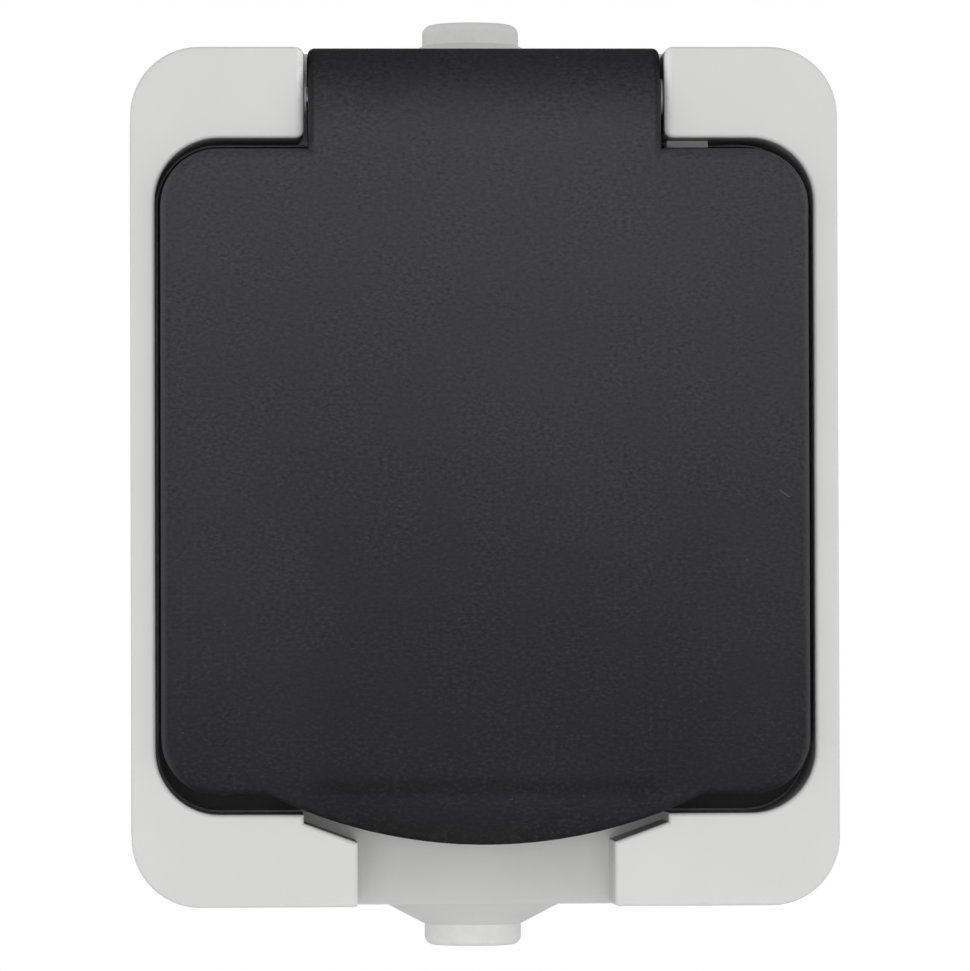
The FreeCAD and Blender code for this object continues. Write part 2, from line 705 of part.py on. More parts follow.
def contact_face():
    """The well's floor: a disc with two pin holes, the sunk screw's hole and slots for the earth arms."""
    body = new_body("contact_face")
    disc = Outline(body, "face_disc", offset="well_back")
    disc.circle("0", "0", "well_outside")
    pad(body, disc, "well_floor")
    holes = Outline(body, "pin_holes", offset="well_floor_face")
    holes.circle("-pin_hole_across", "0", "pin_hole_radius")
    holes.circle("pin_hole_across", "0", "pin_hole_radius")
    pocket(body, holes, "well_floor + strap_thick")
    centre = Outline(body, "centre_hole", offset="well_floor_face")
    centre.circle("0", "0", "screw_radius + hole_gap")
    pocket(body, centre, "well_floor + strap_thick")
    sink = Outline(body, "centre_sink", offset="well_floor_face")
    sink.circle("0", "0", "well_head_radius + hole_gap")
    pocket(body, sink, "well_head_sink")
    slots = Outline(body, "strap_slots", offset="well_floor_face")
    for side in ("-", ""):
        near = f"{side}(strap_arm - strap_bow - strap_slot_gap)"
        far = f"{side}(strap_arm + strap_thick + strap_slot_gap)"
        slots.box("-strap_half_width - strap_slot_gap", "strap_half_width + strap_slot_gap", near, far)
    pocket(body, slots, "well_floor + strap_thick")
    return body


def well_seal():
    """The rubber ring between the insert's plate and the cover's recess floor."""
    body = new_body("well_seal")
    ring = Outline(body, "well_seal_ring", offset="recess_floor")
    ring.circle("0", "0", "well_seal_radius")
    ring.circle("0", "0", "well_seal_radius - well_seal_width")
    pad(body, ring, "well_seal_thick")
    return body


def contact_carrier():
    """The insulating tray that the contacts lie in, screwed to the box."""
    body = new_body("contact_carrier")
    outer = Outline(body, "carrier_outer", offset="carrier_back")
    outer.rounded("-carrier_half_width", "carrier_half_width", "-carrier_half_height", "carrier_half_height",
                  "carrier_corner")
    pad(body, outer, "carrier_face - carrier_back")
    lugs = Outline(body, "carrier_lugs", offset="carrier_back")
    for side in ("-", ""):
        near, far = f"{side}(lug_across - lug_radius)", f"{side}(lug_across + lug_radius)"
        tip = "lug_up + lug_radius" if side else "-lug_up - lug_radius"
        lugs.closed([(far, "0"), (near, "0"), (near, tip, "lug_corner"), (far, tip, "lug_corner")])
    pad(body, lugs, "lug_thick")
    cells = Outline(body, "contact_cells", offset="carrier_face")
    inner = "screw_radius + thread_gap + carrier_wall"
    for side in ("-", ""):
        cells.box(f"{side}({inner})", f"{side}(carrier_half_width - carrier_wall)",
                  "-sleeve_radius - clip_wall - joint_gap", "sleeve_radius + clip_wall + joint_gap")
    pocket(body, cells, "carrier_face - contact_back")
    wires = Outline(body, "wire_ways", "XY_Plane", "carrier_half_height + shell_wall")
    for side in ("-", ""):
        wires.circle(f"{side}block_across", "-contact_back - bar_thick - block_rise / 2",
                     "wire_hole_radius + joint_gap")
    pocket(body, wires, "2 * carrier_half_height + 2 * shell_wall")
    thread = Outline(body, "carrier_thread", offset="carrier_face")
    thread.circle("0", "0", "screw_radius + thread_gap")
    pocket(body, thread, "well_screw_length")
    holes = Outline(body, "lug_holes", offset="carrier_back + lug_thick")
    holes.circle("-lug_across", "lug_up", "small_screw_radius + hole_gap")
    holes.circle("lug_across", "-lug_up", "small_screw_radius + hole_gap")
    pocket(body, holes, "lug_thick")
    return body


def carrier_cover():
    """The insulating plate over the contacts, with holes for the pins, the wires' screws and the screw."""
    body = new_body("carrier_cover")
    plate = Outline(body, "plate_outer", offset="carrier_face")
    plate.rounded("-carrier_half_width", "carrier_half_width", "-carrier_half_height", "carrier_half_height",
                  "carrier_corner")
    plate.circle("-pin_hole_across", "0", "pin_hole_radius")
    plate.circle("pin_hole_across", "0", "pin_hole_radius")
    plate.circle("0", "0", "screw_radius + hole_gap")
    plate.circle("-block_across", "0", "small_head_radius + hole_gap")
    plate.circle("block_across", "0", "small_head_radius + hole_gap")
    pad(body, plate, "plate_thick")
    return body


def contact(label, side):
    """A brass contact: a slit sleeve for the pin, a bar and a block with a wire hole."""
    body = new_body(label)
    sleeve = Outline(body, f"{label}_sleeve", offset="contact_back")
    sleeve.circle(f"{side}pin_hole_across", "0", "sleeve_radius")
    pad(body, sleeve, "sleeve_length")
    bar = Outline(body, f"{label}_bar", offset="contact_back")
    bar.box(f"{side}pin_hole_across", f"{side}(block_across + block_half_width)", "-block_half_height",
            "block_half_height")
    pad(body, bar, "bar_thick")
    block = Outline(body, f"{label}_block", offset="contact_back + bar_thick")
    block.box(f"{side}(block_across - block_half_width)", f"{side}(block_across + block_half_width)",
              "-block_half_height", "block_half_height")
    pad(body, block, "block_rise")
    bore = Outline(body, f"{label}_bore", offset="contact_back + sleeve_length")
    bore.circle(f"{side}pin_hole_across", "0", "sleeve_radius - sleeve_wall")
    pocket(body, bore, "sleeve_length - bar_thick")
    slit = Outline(body, f"{label}_slit", offset="contact_back + sleeve_length")
    slit.box(f"{side}pin_hole_across - sleeve_slit / 2", f"{side}pin_hole_across + sleeve_slit / 2",
             "-sleeve_radius - clip_wall", "sleeve_radius + clip_wall")
    pocket(body, slit, "sleeve_length - 2 * bar_thick")
    wire = Outline(body, f"{label}_wire_hole", "XY_Plane", "block_half_height + joint_gap")
    wire.circle(f"{side}block_across", "-contact_back - bar_thick - block_rise / 2", "wire_hole_radius")
    pocket(body, wire, "2 * block_half_height + 2 * joint_gap")
    thread = Outline(body, f"{label}_thread", offset="contact_back + bar_thick + block_rise")
    thread.circle(f"{side}block_across", "0", "small_screw_radius + thread_gap")
    pocket(body, thread, "block_rise / 2")
    return body


def contact_clips():
    """The two steel rings that close the slit sleeves on the pins."""
    body = new_body("contact_clips")
    rings = Outline(body, "clip_rings", offset="contact_back + sleeve_length - 1.5 * clip_width")
    for side in ("-", ""):
        rings.circle(f"{side}pin_hole_across", "0", "sleeve_radius + clip_wall")
        rings.circle(f"{side}pin_hole_across", "0", "sleeve_radius + thread_gap")
    pad(body, rings, "clip_width")
    return body


def earth_strap():
    """The bent earth strip: a flat base, two sprung arms in the well and a terminal at its tail."""
    body = new_body("earth_strap")
    base = Outline(body, "strap_base", offset="plate_face")
    base.box("-strap_half_width", "strap_half_width", "-strap_tail", "strap_arm + strap_thick")
    pad(body, base, "strap_thick")
    tail = Outline(body, "strap_tail_plate", offset="plate_face")
    tail.box("-terminal_half", "terminal_half", "-strap_tail", "-strap_terminal_up + terminal_half")
    pad(body, tail, "strap_thick")
    for side, name in (("-", "low"), ("", "high")):
        arm = Outline(body, f"strap_arm_{name}", "YZ_Plane")
        foot = "-plate_face"
        knee = "-plate_face - strap_rise * 0.72"
        tip = "-plate_face - strap_rise"
        arm.closed([(foot, f"{side}strap_arm"), (foot, f"{side}(strap_arm + strap_thick)"),
                    (knee, f"{side}(strap_arm + strap_thick - strap_bow)"),
                    (tip, f"{side}(strap_arm + strap_thick)"), (tip, f"{side}strap_arm"),
                    (knee, f"{side}(strap_arm - strap_bow)")])
        pad(body, arm, "2 * strap_half_width", both=True)
    block = Outline(body, "earth_terminal", offset="plate_face")
    block.box("-terminal_half", "terminal_half", "-strap_tail", "-strap_terminal_up + terminal_half")
    pad(body, block, "terminal_rise", reverse=True)
    holes = Outline(body, "strap_thread", offset="plate_face + strap_thick")
    holes.circle("0", "-strap_terminal_up", "small_screw_radius + thread_gap")
    pocket(body, holes, "strap_thick + terminal_rise")
    centre = Outline(body, "strap_hole", offset="plate_face + strap_thick")
    centre.circle("0", "0", "screw_radius + hole_gap")
    pocket(body, centre, "strap_thick")
    return body


def earth_clamp():
    """The square washer under the earth screw's head."""
    body = new_body("earth_clamp")
    plate = Outline(body, "clamp_plate", offset="well_back")
    plate.box("-clamp_half", "clamp_half", "-strap_terminal_up - clamp_half + 0.2 * clamp_half",
              "-strap_terminal_up + clamp_half")
    plate.circle("0", "-strap_terminal_up", "small_screw_radius + hole_gap")
    pad(body, plate, "clamp_thick")
    return body


def grommet(label, sign):
    """A rubber cable grommet with a closed skin, pushed through the entry from outside."""
    body = new_body(label)
    profile = Outline(body, f"{label}_profile", "YZ_Plane")
    shelf = f"{sign}inner_half_height"
    back = f"{sign}(inner_half_height - grommet_lip)"
    seat = f"{sign}(half_height + entry_rise)"
    tip = f"{sign}(half_height + entry_rise + grommet_rise)"
    skin = f"{sign}(half_height + entry_rise + grommet_rise - grommet_skin)"
    profile.axis("-entry_depth", back, tip)
    profile.closed([("-entry_depth", skin), ("-entry_depth", tip),
                    ("-entry_depth - grommet_radius", tip, "grommet_round"),
                    ("-entry_depth - grommet_radius", seat), ("-entry_depth - grommet_neck", seat),
                    ("-entry_depth - grommet_neck", shelf), ("-entry_depth - grommet_radius", shelf),
                    ("-entry_depth - grommet_radius", back), ("-entry_depth - grommet_bore", back),
                    ("-entry_depth - grommet_bore", skin)])
    turned(body, profile, axis="Axis0")
    return body


def hinge_pin():
    """The steel pin, a tight fit in the ears."""
    body = new_body("hinge_pin")
    rod = Outline(body, "pin_round", "YZ_Plane")
    rod.circle("-hinge_depth", "hinge_up", "pin_radius")
    pad(body, rod, "2 * pin_half_length", both=True)
    bevelled_edges(body, "pin_ends", "pin_radius / 4", lambda edge: edge.BoundBox.XLength < 0.01)
    return body


def hinge_spring():
    """The torsion spring on the pin: six-sided wire, one leg behind the lid, one under the catch."""
    wire, coil = value("wire_radius"), value("coil_radius")
    pitch, turns = value("coil_pitch"), value("coil_turns")
    drop = value("leg_drop")
    hook_down = value("leg_drop + catch_reach / 2")
    hook_back = value("hinge_depth - insert_face - catch_reach / 2")
    span = math.hypot(hook_down, hook_back)
    leg = math.sqrt(span ** 2 - coil ** 2)
    lean = math.atan2(hook_back, hook_down) - math.atan2(coil, leg)
    half = pitch * turns / 2
    whole_turns = turns + 0.5 - lean / (2 * math.pi)
    helix = Part.makeHelix(pitch, pitch * whole_turns, coil)
    start = FreeCAD.Vector(coil, 0, 0)
    end = FreeCAD.Vector(-coil * math.cos(lean), coil * math.sin(lean), pitch * whole_turns)
    along = FreeCAD.Vector(-math.sin(lean), -math.cos(lean), 0)
    lid_leg = Part.LineSegment(start + FreeCAD.Vector(0, -drop, 0), start).toShape()
    cover_leg = Part.LineSegment(end, end + along * leg).toShape()
    path = Part.Wire([lid_leg] + helix.Edges + [cover_leg])
    section = []
    for step in range(7):
        turn = math.pi / 3 * step
        section.append(start + FreeCAD.Vector(wire * math.cos(turn), -drop, wire * math.sin(turn)))
    spring = doc.addObject("Part::Feature", "hinge_spring")
    spring.Label = "hinge_spring"
    spring.Shape = path.makePipeShell([Part.makePolygon(section)], True, True)
    facing = [FreeCAD.Vector(0, -1, 0), FreeCAD.Vector(0, 0, 1), FreeCAD.Vector(-1, 0, 0)]
    middle = FreeCAD.Vector(half, -value("hinge_depth"), value("hinge_up"))
    spring.Placement = FreeCAD.Placement(middle, FreeCAD.Rotation(*facing, "ZXY"))
    return spring


def on_knuckle_side(edge):
    """Whether an edge is the large front arc on one side of the lid's knuckle."""
    box = edge.BoundBox
    flat = box.XLength < 0.01 and abs(abs(box.XMin) - value("knuckle_half_width")) < 0.01
    return flat and abs(getattr(edge.Curve, "Radius", 0) - value("knuckle_front_round")) < 0.01


def on_knuckle_top(edge):
    """Whether an edge is the long one between the knuckle's curved front and its top."""
    box = edge.BoundBox
    long = box.XLength > value("knuckle_half_width") and box.ZMin > value("half_height - thread_gap")
    return long and box.YMax < value("-hinge_depth")


def on_lip_front(edge):
    """Whether an edge is the long curved front edge of the finger lip."""
    box = edge.BoundBox
    low = box.ZMin < value("-lid_bottom - lip_reach / 2")
    return low and box.XLength > value("lip_reach") and box.YMin < value("-lid_front + lip_thick / 2")


def lid():
    """The dark lid: plate and skirt, finger lip, knuckle on the pin, gasket ribs inside."""
    body = new_body("lid")
    plate = Outline(body, "lid_plate_outline", offset="lid_back")
    plate.rounded("-lid_half_width", "lid_half_width", "-lid_bottom", "lid_top", "lid_corner")
    pad(body, plate, "lid_front - lid_back")
    rounded_edges(body, "lid_edge_round", "lid_round", lambda edge: at_depth(edge, "lid_front"))
    hollow = Outline(body, "lid_hollow", offset="lid_back")
    hollow.rounded("-lid_half_width + lid_skirt", "lid_half_width - lid_skirt",
                   "-lid_bottom + lid_skirt", "lid_top - lid_skirt", "lid_corner - lid_skirt")
    pocket(body, hollow, "lid_inside - lid_back", reverse=True)
    knuckle = Outline(body, "knuckle", "YZ_Plane")
    back = "-hinge_depth + knuckle_back"
    foot = "hinge_up - knuckle_foot"
    rise = "(hinge_drop + knuckle_foot)"
    brow = f"-lid_front + knuckle_front_round - sqrt(knuckle_front_round ^ 2 - {rise} ^ 2)"
    knuckle.closed([("-lid_front", "lid_top - lid_skirt"), ("-hinge_depth", "lid_top - lid_skirt"),
                    ("-hinge_depth", "hinge_up - knuckle_back", "arc", "knuckle_back"), (back, "hinge_up"),
                    (back, "half_height", "knuckle_back_round"),
                    (brow, "half_height", "arc", "knuckle_front_round"), ("-lid_front", foot)])
    pad(body, knuckle, "2 * knuckle_half_width", both=True)
    rounded_edges(body, "knuckle_brow_round", "knuckle_top_round", on_knuckle_top)
    rounded_edges(body, "knuckle_side_round", "knuckle_round", on_knuckle_side)
    lip = Outline(body, "lip", offset="lid_front - lip_thick")
    chord = "(-lid_bottom + lid_skirt)"
    half = "sqrt(lip_radius ^ 2 - (lip_radius - lip_reach - lid_skirt) ^ 2)"
    lip.closed([(f"-{half}", chord, "arc", "lip_radius"), (half, chord)])
    pad(body, lip, "lip_thick")
    slope = Outline(body, "lip_slope", "YZ_Plane")
    drop = "(recess_bottom - lid_bottom_gap + lip_reach)"
    slope.closed([("-lid_front", "-lid_bottom + lip_crease"),
                  (f"-lid_front + ({drop} - lid_bottom + lip_crease) * tan(lip_tilt * 1 deg)", f"-{drop}"),
                  ("-lid_front - lid_plate", f"-{drop}"),
                  ("-lid_front - lid_plate", "-lid_bottom + lip_crease")])
    pocket(body, slope, "2 * recess_half_width", both=True)
    rounded_edges(body, "lip_edge_round", "lip_round", on_lip_front)
    slot = Outline(body, "spring_slot", "YZ_Plane")
    low, high = "hinge_up - slot_drop", "hinge_up + slot_rise"
    slot.closed([("-recess_floor", low), ("-hinge_depth - slot_front", low),
                 ("-hinge_depth - slot_front", high, "slot_round"), ("-hinge_depth + slot_open", high),
                 ("-hinge_depth + slot_open", "half_height + shell_wall"),
                 ("-recess_floor", "half_height + shell_wall")])
    pocket(body, slot, "2 * slot_half_width", both=True)
    bore = Outline(body, "knuckle_bore", "YZ_Plane")
    bore.circle("-hinge_depth", "hinge_up", "pin_radius + pin_gap")
    pocket(body, bore, "2 * recess_half_width", both=True)
    ribs = Outline(body, "gasket_ribs", offset="lid_inside")
    near, far = "gasket_radius - gasket_half_width", "gasket_radius + gasket_half_width"
    ribs.circle("0", "0", f"{near} - gasket_rib")
    ribs.circle("0", "0", near)
    ribs.circle("0", "0", far)
    ribs.circle("0", "0", f"{far} + gasket_rib")
    pad(body, ribs, "gasket_rib_rise", reverse=True)
    return body


def lid_gasket():
    """The soft ring between the lid's two ribs that closes on the well's rim."""
    body = new_body("lid_gasket")
    ring = Outline(body, "gasket_ring", offset="lid_inside")
    ring.circle("0", "0", "gasket_radius + gasket_half_width")
    ring.circle("0", "0", "gasket_radius - gasket_half_width")
    pad(body, ring, "lid_inside - well_mouth - gasket_gap", reverse=True)
    return body


def make_pieces():
    """Build every piece and return the objects, each labelled with its piece's name."""
    return [
        back_box(),
        front_cover(),
        box_seal(),
        screws("cover_screws", [("-screw_across", "screw_up"), ("screw_across", "-screw_up")], "insert_face",
               "screw_length", "screw_radius", "screw_head_radius", "screw_head_rise"),
        socket_insert(),
        contact_face(),
        well_seal(),
        screws("well_screw", [("0", "0")], "(well_floor_face - well_head_sink)",
               "well_screw_length", "screw_radius", "well_head_radius", "well_head_sink"),
        contact_carrier(),
        carrier_cover(),
        contact("live_contact", "-"),
        contact("neutral_contact", ""),
        contact_clips(),
        screws("terminal_screws", [("-block_across", "0"), ("block_across", "0")],
               "(contact_back + bar_thick + block_rise + joint_gap)", "block_rise / 2",
               "small_screw_radius", "small_head_radius", "small_head_rise"),
        screws("carrier_screws", [("-lug_across", "lug_up"), ("lug_across", "-lug_up")],
               "(carrier_back + lug_thick)", "lug_thick + carrier_back - box_floor",
               "small_screw_radius", "small_head_radius", "small_head_rise"),
        earth_strap(),
        earth_clamp(),
        screws("earth_screw", [("0", "-strap_terminal_up")], "(well_back + clamp_thick)",
               "terminal_screw_length", "small_screw_radius", "small_head_radius", "small_head_rise"),
        grommet("top_grommet", ""),
        grommet("bottom_grommet", "-"),
        hinge_pin(),
        hinge_spring(),
        lid(),
        lid_gasket(),
    ]


def check(pieces):
    """Stop if anything in the document failed or a piece has no sound shape."""
    doc.recompute()
    for made in doc.Objects:
        if "Invalid" in made.State or "Error" in made.State:
            raise RuntimeError(f"{made.Name} failed: {made.State}")
    for piece in pieces:
        if piece.Shape.isNull() or not piece.Shape.isValid() or not piece.Shape.Solids:
            raise RuntimeError(f"{piece.Label} has no sound shape")


def write(pieces):
    """Write one STEP file for each piece."""
    os.makedirs("parts", exist_ok=True)
    for piece in pieces:
        piece.Shape.exportStep(f"parts/{piece.Label}.step")
        print(f"{piece.Label}: {len(piece.Shape.Solids)} solids, {piece.Shape.Volume:.0f} mm3")


pieces = make_pieces()
check(pieces)
write(pieces)
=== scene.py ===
import json
import math

import bmesh
import bpy
from mathutils import Matrix, Vector


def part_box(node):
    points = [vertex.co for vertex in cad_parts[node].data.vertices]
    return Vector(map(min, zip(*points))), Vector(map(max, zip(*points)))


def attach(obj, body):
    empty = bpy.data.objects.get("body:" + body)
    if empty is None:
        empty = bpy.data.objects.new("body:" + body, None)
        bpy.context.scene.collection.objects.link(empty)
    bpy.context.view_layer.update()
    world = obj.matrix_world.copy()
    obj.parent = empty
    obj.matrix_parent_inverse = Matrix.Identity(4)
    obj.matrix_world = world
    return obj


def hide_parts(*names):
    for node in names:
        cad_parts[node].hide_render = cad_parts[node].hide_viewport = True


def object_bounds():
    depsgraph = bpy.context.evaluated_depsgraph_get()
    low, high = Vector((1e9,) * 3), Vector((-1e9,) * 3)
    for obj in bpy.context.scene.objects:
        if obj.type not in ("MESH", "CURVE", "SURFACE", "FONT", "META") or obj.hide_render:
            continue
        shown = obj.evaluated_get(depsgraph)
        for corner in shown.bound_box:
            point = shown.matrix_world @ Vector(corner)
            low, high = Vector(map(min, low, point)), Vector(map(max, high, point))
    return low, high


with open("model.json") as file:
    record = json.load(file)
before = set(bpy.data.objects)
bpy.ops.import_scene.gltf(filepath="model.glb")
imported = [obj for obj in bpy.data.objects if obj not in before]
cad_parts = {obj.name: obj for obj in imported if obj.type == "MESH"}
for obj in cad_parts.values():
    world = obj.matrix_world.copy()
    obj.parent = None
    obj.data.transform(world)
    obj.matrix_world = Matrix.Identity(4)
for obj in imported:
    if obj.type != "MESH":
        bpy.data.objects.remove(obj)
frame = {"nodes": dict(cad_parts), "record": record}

bl_info = {
    "name": "Weatherproof socket",
    "version": (1, 0, 0),
    "blender": (4, 5, 0),
    "location": "View3D > Sidebar > Socket",
    "description": "Finishes and small pieces for a surface-mounted weatherproof wall socket",
    "category": "Object",
}

CAD_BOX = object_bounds()
NODES = frame["nodes"]
HINGE_PLACE = Vector(frame["record"]["behaviour"]["joints"][0]["pos_m"])

# How far the lid stands in front of the cover, in metres, and the scratch's slant in degrees
LID_PROUD = 0.0015
SCRATCH_SLANT = 34.8

# Heights on the lid, in metres from the middle, between which its tone changes, mostly by painted light and
# painted shade
LOW_TO_MIDDLE = (-0.054, 0.010)
MIDDLE_TO_HIGH = (-0.006, 0.036)
KNUCKLE_TOP = (0.0340, 0.0425)
KNUCKLE_CHEEKS = (0.030, 0.034)
RUBBED_AREA = (-0.030, 0.030)
LIP_END = (-0.0352, -0.0318)

# The painted shade in the lip's crease: how far to each side it is darkest and gone, and how long its two
# ends fade
CREASE_SOFT = (0.0002, 0.0014)
CREASE_FADE = 0.0035

# Lamps: place across, ahead of the cover and up, then width and height, all in metres
SIDE_LAMP = (0.82, 0.47, -0.05, 0.6, 0.8)
FRONT_LAMP = (-0.06, 0.93, -0.15, 0.5, 0.5)

# Steps along each leg of the spring and round one turn, and the share of a turn where its pieces lap
LEG_STEPS = 6
TURN_STEPS = 24
TURN_LAP = 0.005


def linear(grey):
    """The light of a screen grey between 0 and 1."""
    return grey / 12.92 if grey <= 0.04045 else ((grey + 0.055) / 1.055) ** 2.4


def screen_colour(red, green, blue):
    """A colour as the screen shows it, out of 255, as the renderer needs it."""
    return tuple(linear(channel / 255) for channel in (red, green, blue))


def size_property(name, description, default):
    """A length in metres."""
    return bpy.props.FloatProperty(name=name, description=description, default=default, unit="LENGTH",
                                   precision=5)


def colour_property(name, description, default):
    """A plain colour."""
    return bpy.props.FloatVectorProperty(name=name, description=description, default=default, size=3,
                                         min=0, max=1, subtype="COLOR")


def power_property(name, description, default):
    """A lamp's power in watts."""
    return bpy.props.FloatProperty(name=name, description=description, default=default, min=0,
                                   unit="POWER")


def share_property(name, description, default):
    """A number from 0 to 1."""
    return bpy.props.FloatProperty(name=name, description=description, default=default, min=0, max=1,
                                   subtype="FACTOR")


class HousingSettings(bpy.types.PropertyGroup):
    """The light grey shells, with painted shade and painted light where they face the lid's knuckle."""
    colour: colour_property("Shell", "Colour of the box and the cover", screen_colour(210, 210, 209))
    # Painted shade: the colour that stands in for the shade on the ears' walls facing the lid's knuckle.
    gap_shade_colour: colour_property("Shade", "Colour of the dirt between the ears and the lid's knuckle",
                           screen_colour(52, 51, 50))
    grain: size_property("Grain", "Width of the shells' fine mould grain", 0.00035)
    roughness: share_property("Roughness", "How matt the shells are", 0.46)
    gap_half: size_property("Gap side", "From the middle to where the dirt beside the hinge ends", 0.0192)
    gap_up: size_property("Gap foot", "The height above which the shells are painted_darker beside the hinge", 0.0338)
    gap_depth: size_property("Gap back", "How far in front of the wall the dirt begins", 0.038)


class LidSettings(bpy.types.PropertyGroup):
    """The dark lid."""
    colour: colour_property("Lid", "Colour of the lid's middle", screen_colour(46, 45, 49))
    # Painted light: the lid is lighter below its knuckle only because of how light falls there.
    lit_colour: colour_property("Lid above", "Colour of the lid below its knuckle",
                                 screen_colour(57, 56, 60))
    # Painted shade: the lid is darker near its lip and underneath.
    shade_colour: colour_property("Lid below", "Colour of the lid near its lip", screen_colour(9, 9, 10))
    # Painted shade: the knuckle's top turns away from the light.
    brow_shade_colour: colour_property("Brow", "Colour of the knuckle's top", screen_colour(28, 28, 30))
    # Also the colour of the painted highlight on the lid's side edges.
    fleck: colour_property("Fleck", "Colour of the rubbed tips of the lid's grain",
                           screen_colour(84, 84, 88))
    grain: size_property("Grain", "Width of the lid's spark grain", 0.0003)
    roughness: share_property("Roughness", "How matt the lid is", 0.5)
    scratch_across: size_property("Scratch across", "The fine scratch's place near the right edge", 0.0295)
    scratch_up: size_property("Scratch up", "The fine scratch's height", -0.0018)
    scratch_length: size_property("Scratch", "Length of the fine scratch", 0.0012)
    scratch_width: size_property("Scratch width", "Width of the fine scratch", 0.00006)
    # The crease is darkened with painted shade.
    crease_up: size_property("Crease", "Height of the faint crease where the lip begins", -0.0307)
    crease_half: size_property("Crease side", "From the middle to where the crease has faded", 0.0185)
    knuckle_half: size_property("Knuckle", "From the middle to beyond the knuckle's side", 0.020)


class RubberSettings(bpy.types.PropertyGroup):
    """The grommets, the seals and the dark insert."""
    grommet_colour: colour_property("Grommet", "Colour of the cable grommets", screen_colour(224, 224, 221))
    seal_colour: colour_property("Seal", "Colour of the rubber seals", screen_colour(38, 38, 39))
    insert_colour: colour_property("Insert", "Colour of the insert and the contact tray",
                                   screen_colour(34, 33, 33))


class MetalSettings(bpy.types.PropertyGroup):
    """The steel and brass pieces."""
    steel_colour: colour_property("Steel", "Colour of the zinc-plated steel", (0.60, 0.61, 0.63))
    brass_colour: colour_property("Brass", "Colour of the contacts", (0.72, 0.52, 0.24))
    wire_radius: size_property("Wire", "Radius of the hinge spring's wire", 0.00025)
    coil_radius: size_property("Coil", "Radius of the hinge spring's turns", 0.0015)
    coil_pitch: size_property("Pitch", "From one turn of the spring to the next", 0.00056)
    coil_turns: bpy.props.FloatProperty(name="Turns", description="Turns of the hinge spring", default=6.5,
                                        min=1)
    lid_turn: share_property("Lid turn", "The share of the first turn that moves with the lid", 0.75)
    leg_drop: size_property("Lid leg", "Length of the spring's leg behind the lid", 0.0082)
    catch_depth: size_property("Catch depth", "How far behind the hinge the spring's other leg ends", 0.0055)
    catch_drop: size_property("Catch drop", "How far below the hinge the spring's other leg ends", 0.009)


class StageSettings(bpy.types.PropertyGroup):
    """The camera, the lights and the floor."""
    distance: size_property("Distance", "From the cover's front to the camera", 0.69681)
    offset_across: size_property("Camera across", "How far right of the middle the camera stands", -0.027545)
    offset_up: size_property("Camera up", "How far above the middle the camera stands", -0.016094)
    aim_across: size_property("Aim across", "How far right of the middle the camera points", -0.000047)
    aim_up: size_property("Aim up", "How far above the middle the camera points", -0.000928)
    roll: bpy.props.FloatProperty(name="Roll", description="How far the camera leans to its side",
                                  default=math.radians(-0.183), subtype="ANGLE")
    lens: bpy.props.FloatProperty(name="Lens", description="The camera's focal length", default=262.0,
                                  min=1, unit="CAMERA")
    floor_drop: size_property("Floor", "How far the floor lies below the middle", 0.8)
    wall_distance: size_property("Backdrop", "How far behind the object the backdrop stands", 1.6)
    floor_colour: colour_property("Floor colour", "Colour of the floor", (0.9, 0.9, 0.9))
    sky_low: share_property("Weak light", "Strength of the light from the front, above and below", 0.56)
    sky_high: share_property("Side light", "Strength of the light from the sides and behind", 0.9)
    left_power: power_property("Left lamp", "Power of the left lamp", 1.24)
    right_share: bpy.props.FloatProperty(name="Right lamp", min=0, default=1.4,
                                         description="The right lamp's power over the left one's")
    front_power: power_property("Front lamp", "Power of the front lamp", 2.42)


# Shader maths


class Number:
    """A number in a node tree that can be used in Python sums."""

    def __init__(self, tree, socket):
        self.tree = tree
        self.socket = socket

    def sum(self, operation, first, second=None):
        """One Math node."""
        node = self.tree.nodes.new("ShaderNodeMath")
        node.operation = operation
        for socket, given in zip(node.inputs, (first, second)):
            if isinstance(given, Number):
                self.tree.links.new(given.socket, socket)
            elif given is not None:
                socket.default_value = given
        return Number(self.tree, node.outputs[0])

    def __add__(self, other):
        return self.sum("ADD", self, other)

    def __radd__(self, other):
        return self.sum("ADD", other, self)

    def __sub__(self, other):
        return self.sum("SUBTRACT", self, other)

    def __rsub__(self, other):
        return self.sum("SUBTRACT", other, self)

    def __mul__(self, other):
        return self.sum("MULTIPLY", self, other)

    def __rmul__(self, other):
        return self.sum("MULTIPLY", other, self)

    def __lt__(self, other):
        return self.sum("LESS_THAN", self, other)

    def __gt__(self, other):
        return self.sum("GREATER_THAN", self, other)

    def __abs__(self):
        return self.sum("ABSOLUTE", self)


class Nodes:
    """A node tree and short ways to add to it."""

    def __init__(self, tree):
        self.tree = tree

    def node(self, kind, settings=None, inputs=None):
        """A node of any kind: its settings first, then the values or links of its sockets."""
        made = self.tree.nodes.new(kind)
        for name, given in (settings or {}).items():
            setattr(made, name, given)
        for name, given in (inputs or {}).items():
            self.feed(made.inputs[name], given)
        return made

    def feed(self, socket, given):
        """Give a socket a value or a link."""
        if isinstance(given, Number):
            given = given.socket
        if isinstance(given, bpy.types.NodeSocket):
            self.tree.links.new(given, socket)
        else:
            socket.default_value = given

    def between(self, given, low, high):
        """Where a number lies between two others, from 0 to 1, eased at both ends."""
        made = self.node("ShaderNodeMapRange", {"interpolation_type": "SMOOTHSTEP"},
                         {"Value": given, "From Min": low, "From Max": high})
        return Number(self.tree, made.outputs[0])

    def three(self, vector):
        """A vector as three numbers."""
        made = self.node("ShaderNodeSeparateXYZ", None, {0: vector})
        return [Number(self.tree, socket) for socket in made.outputs]


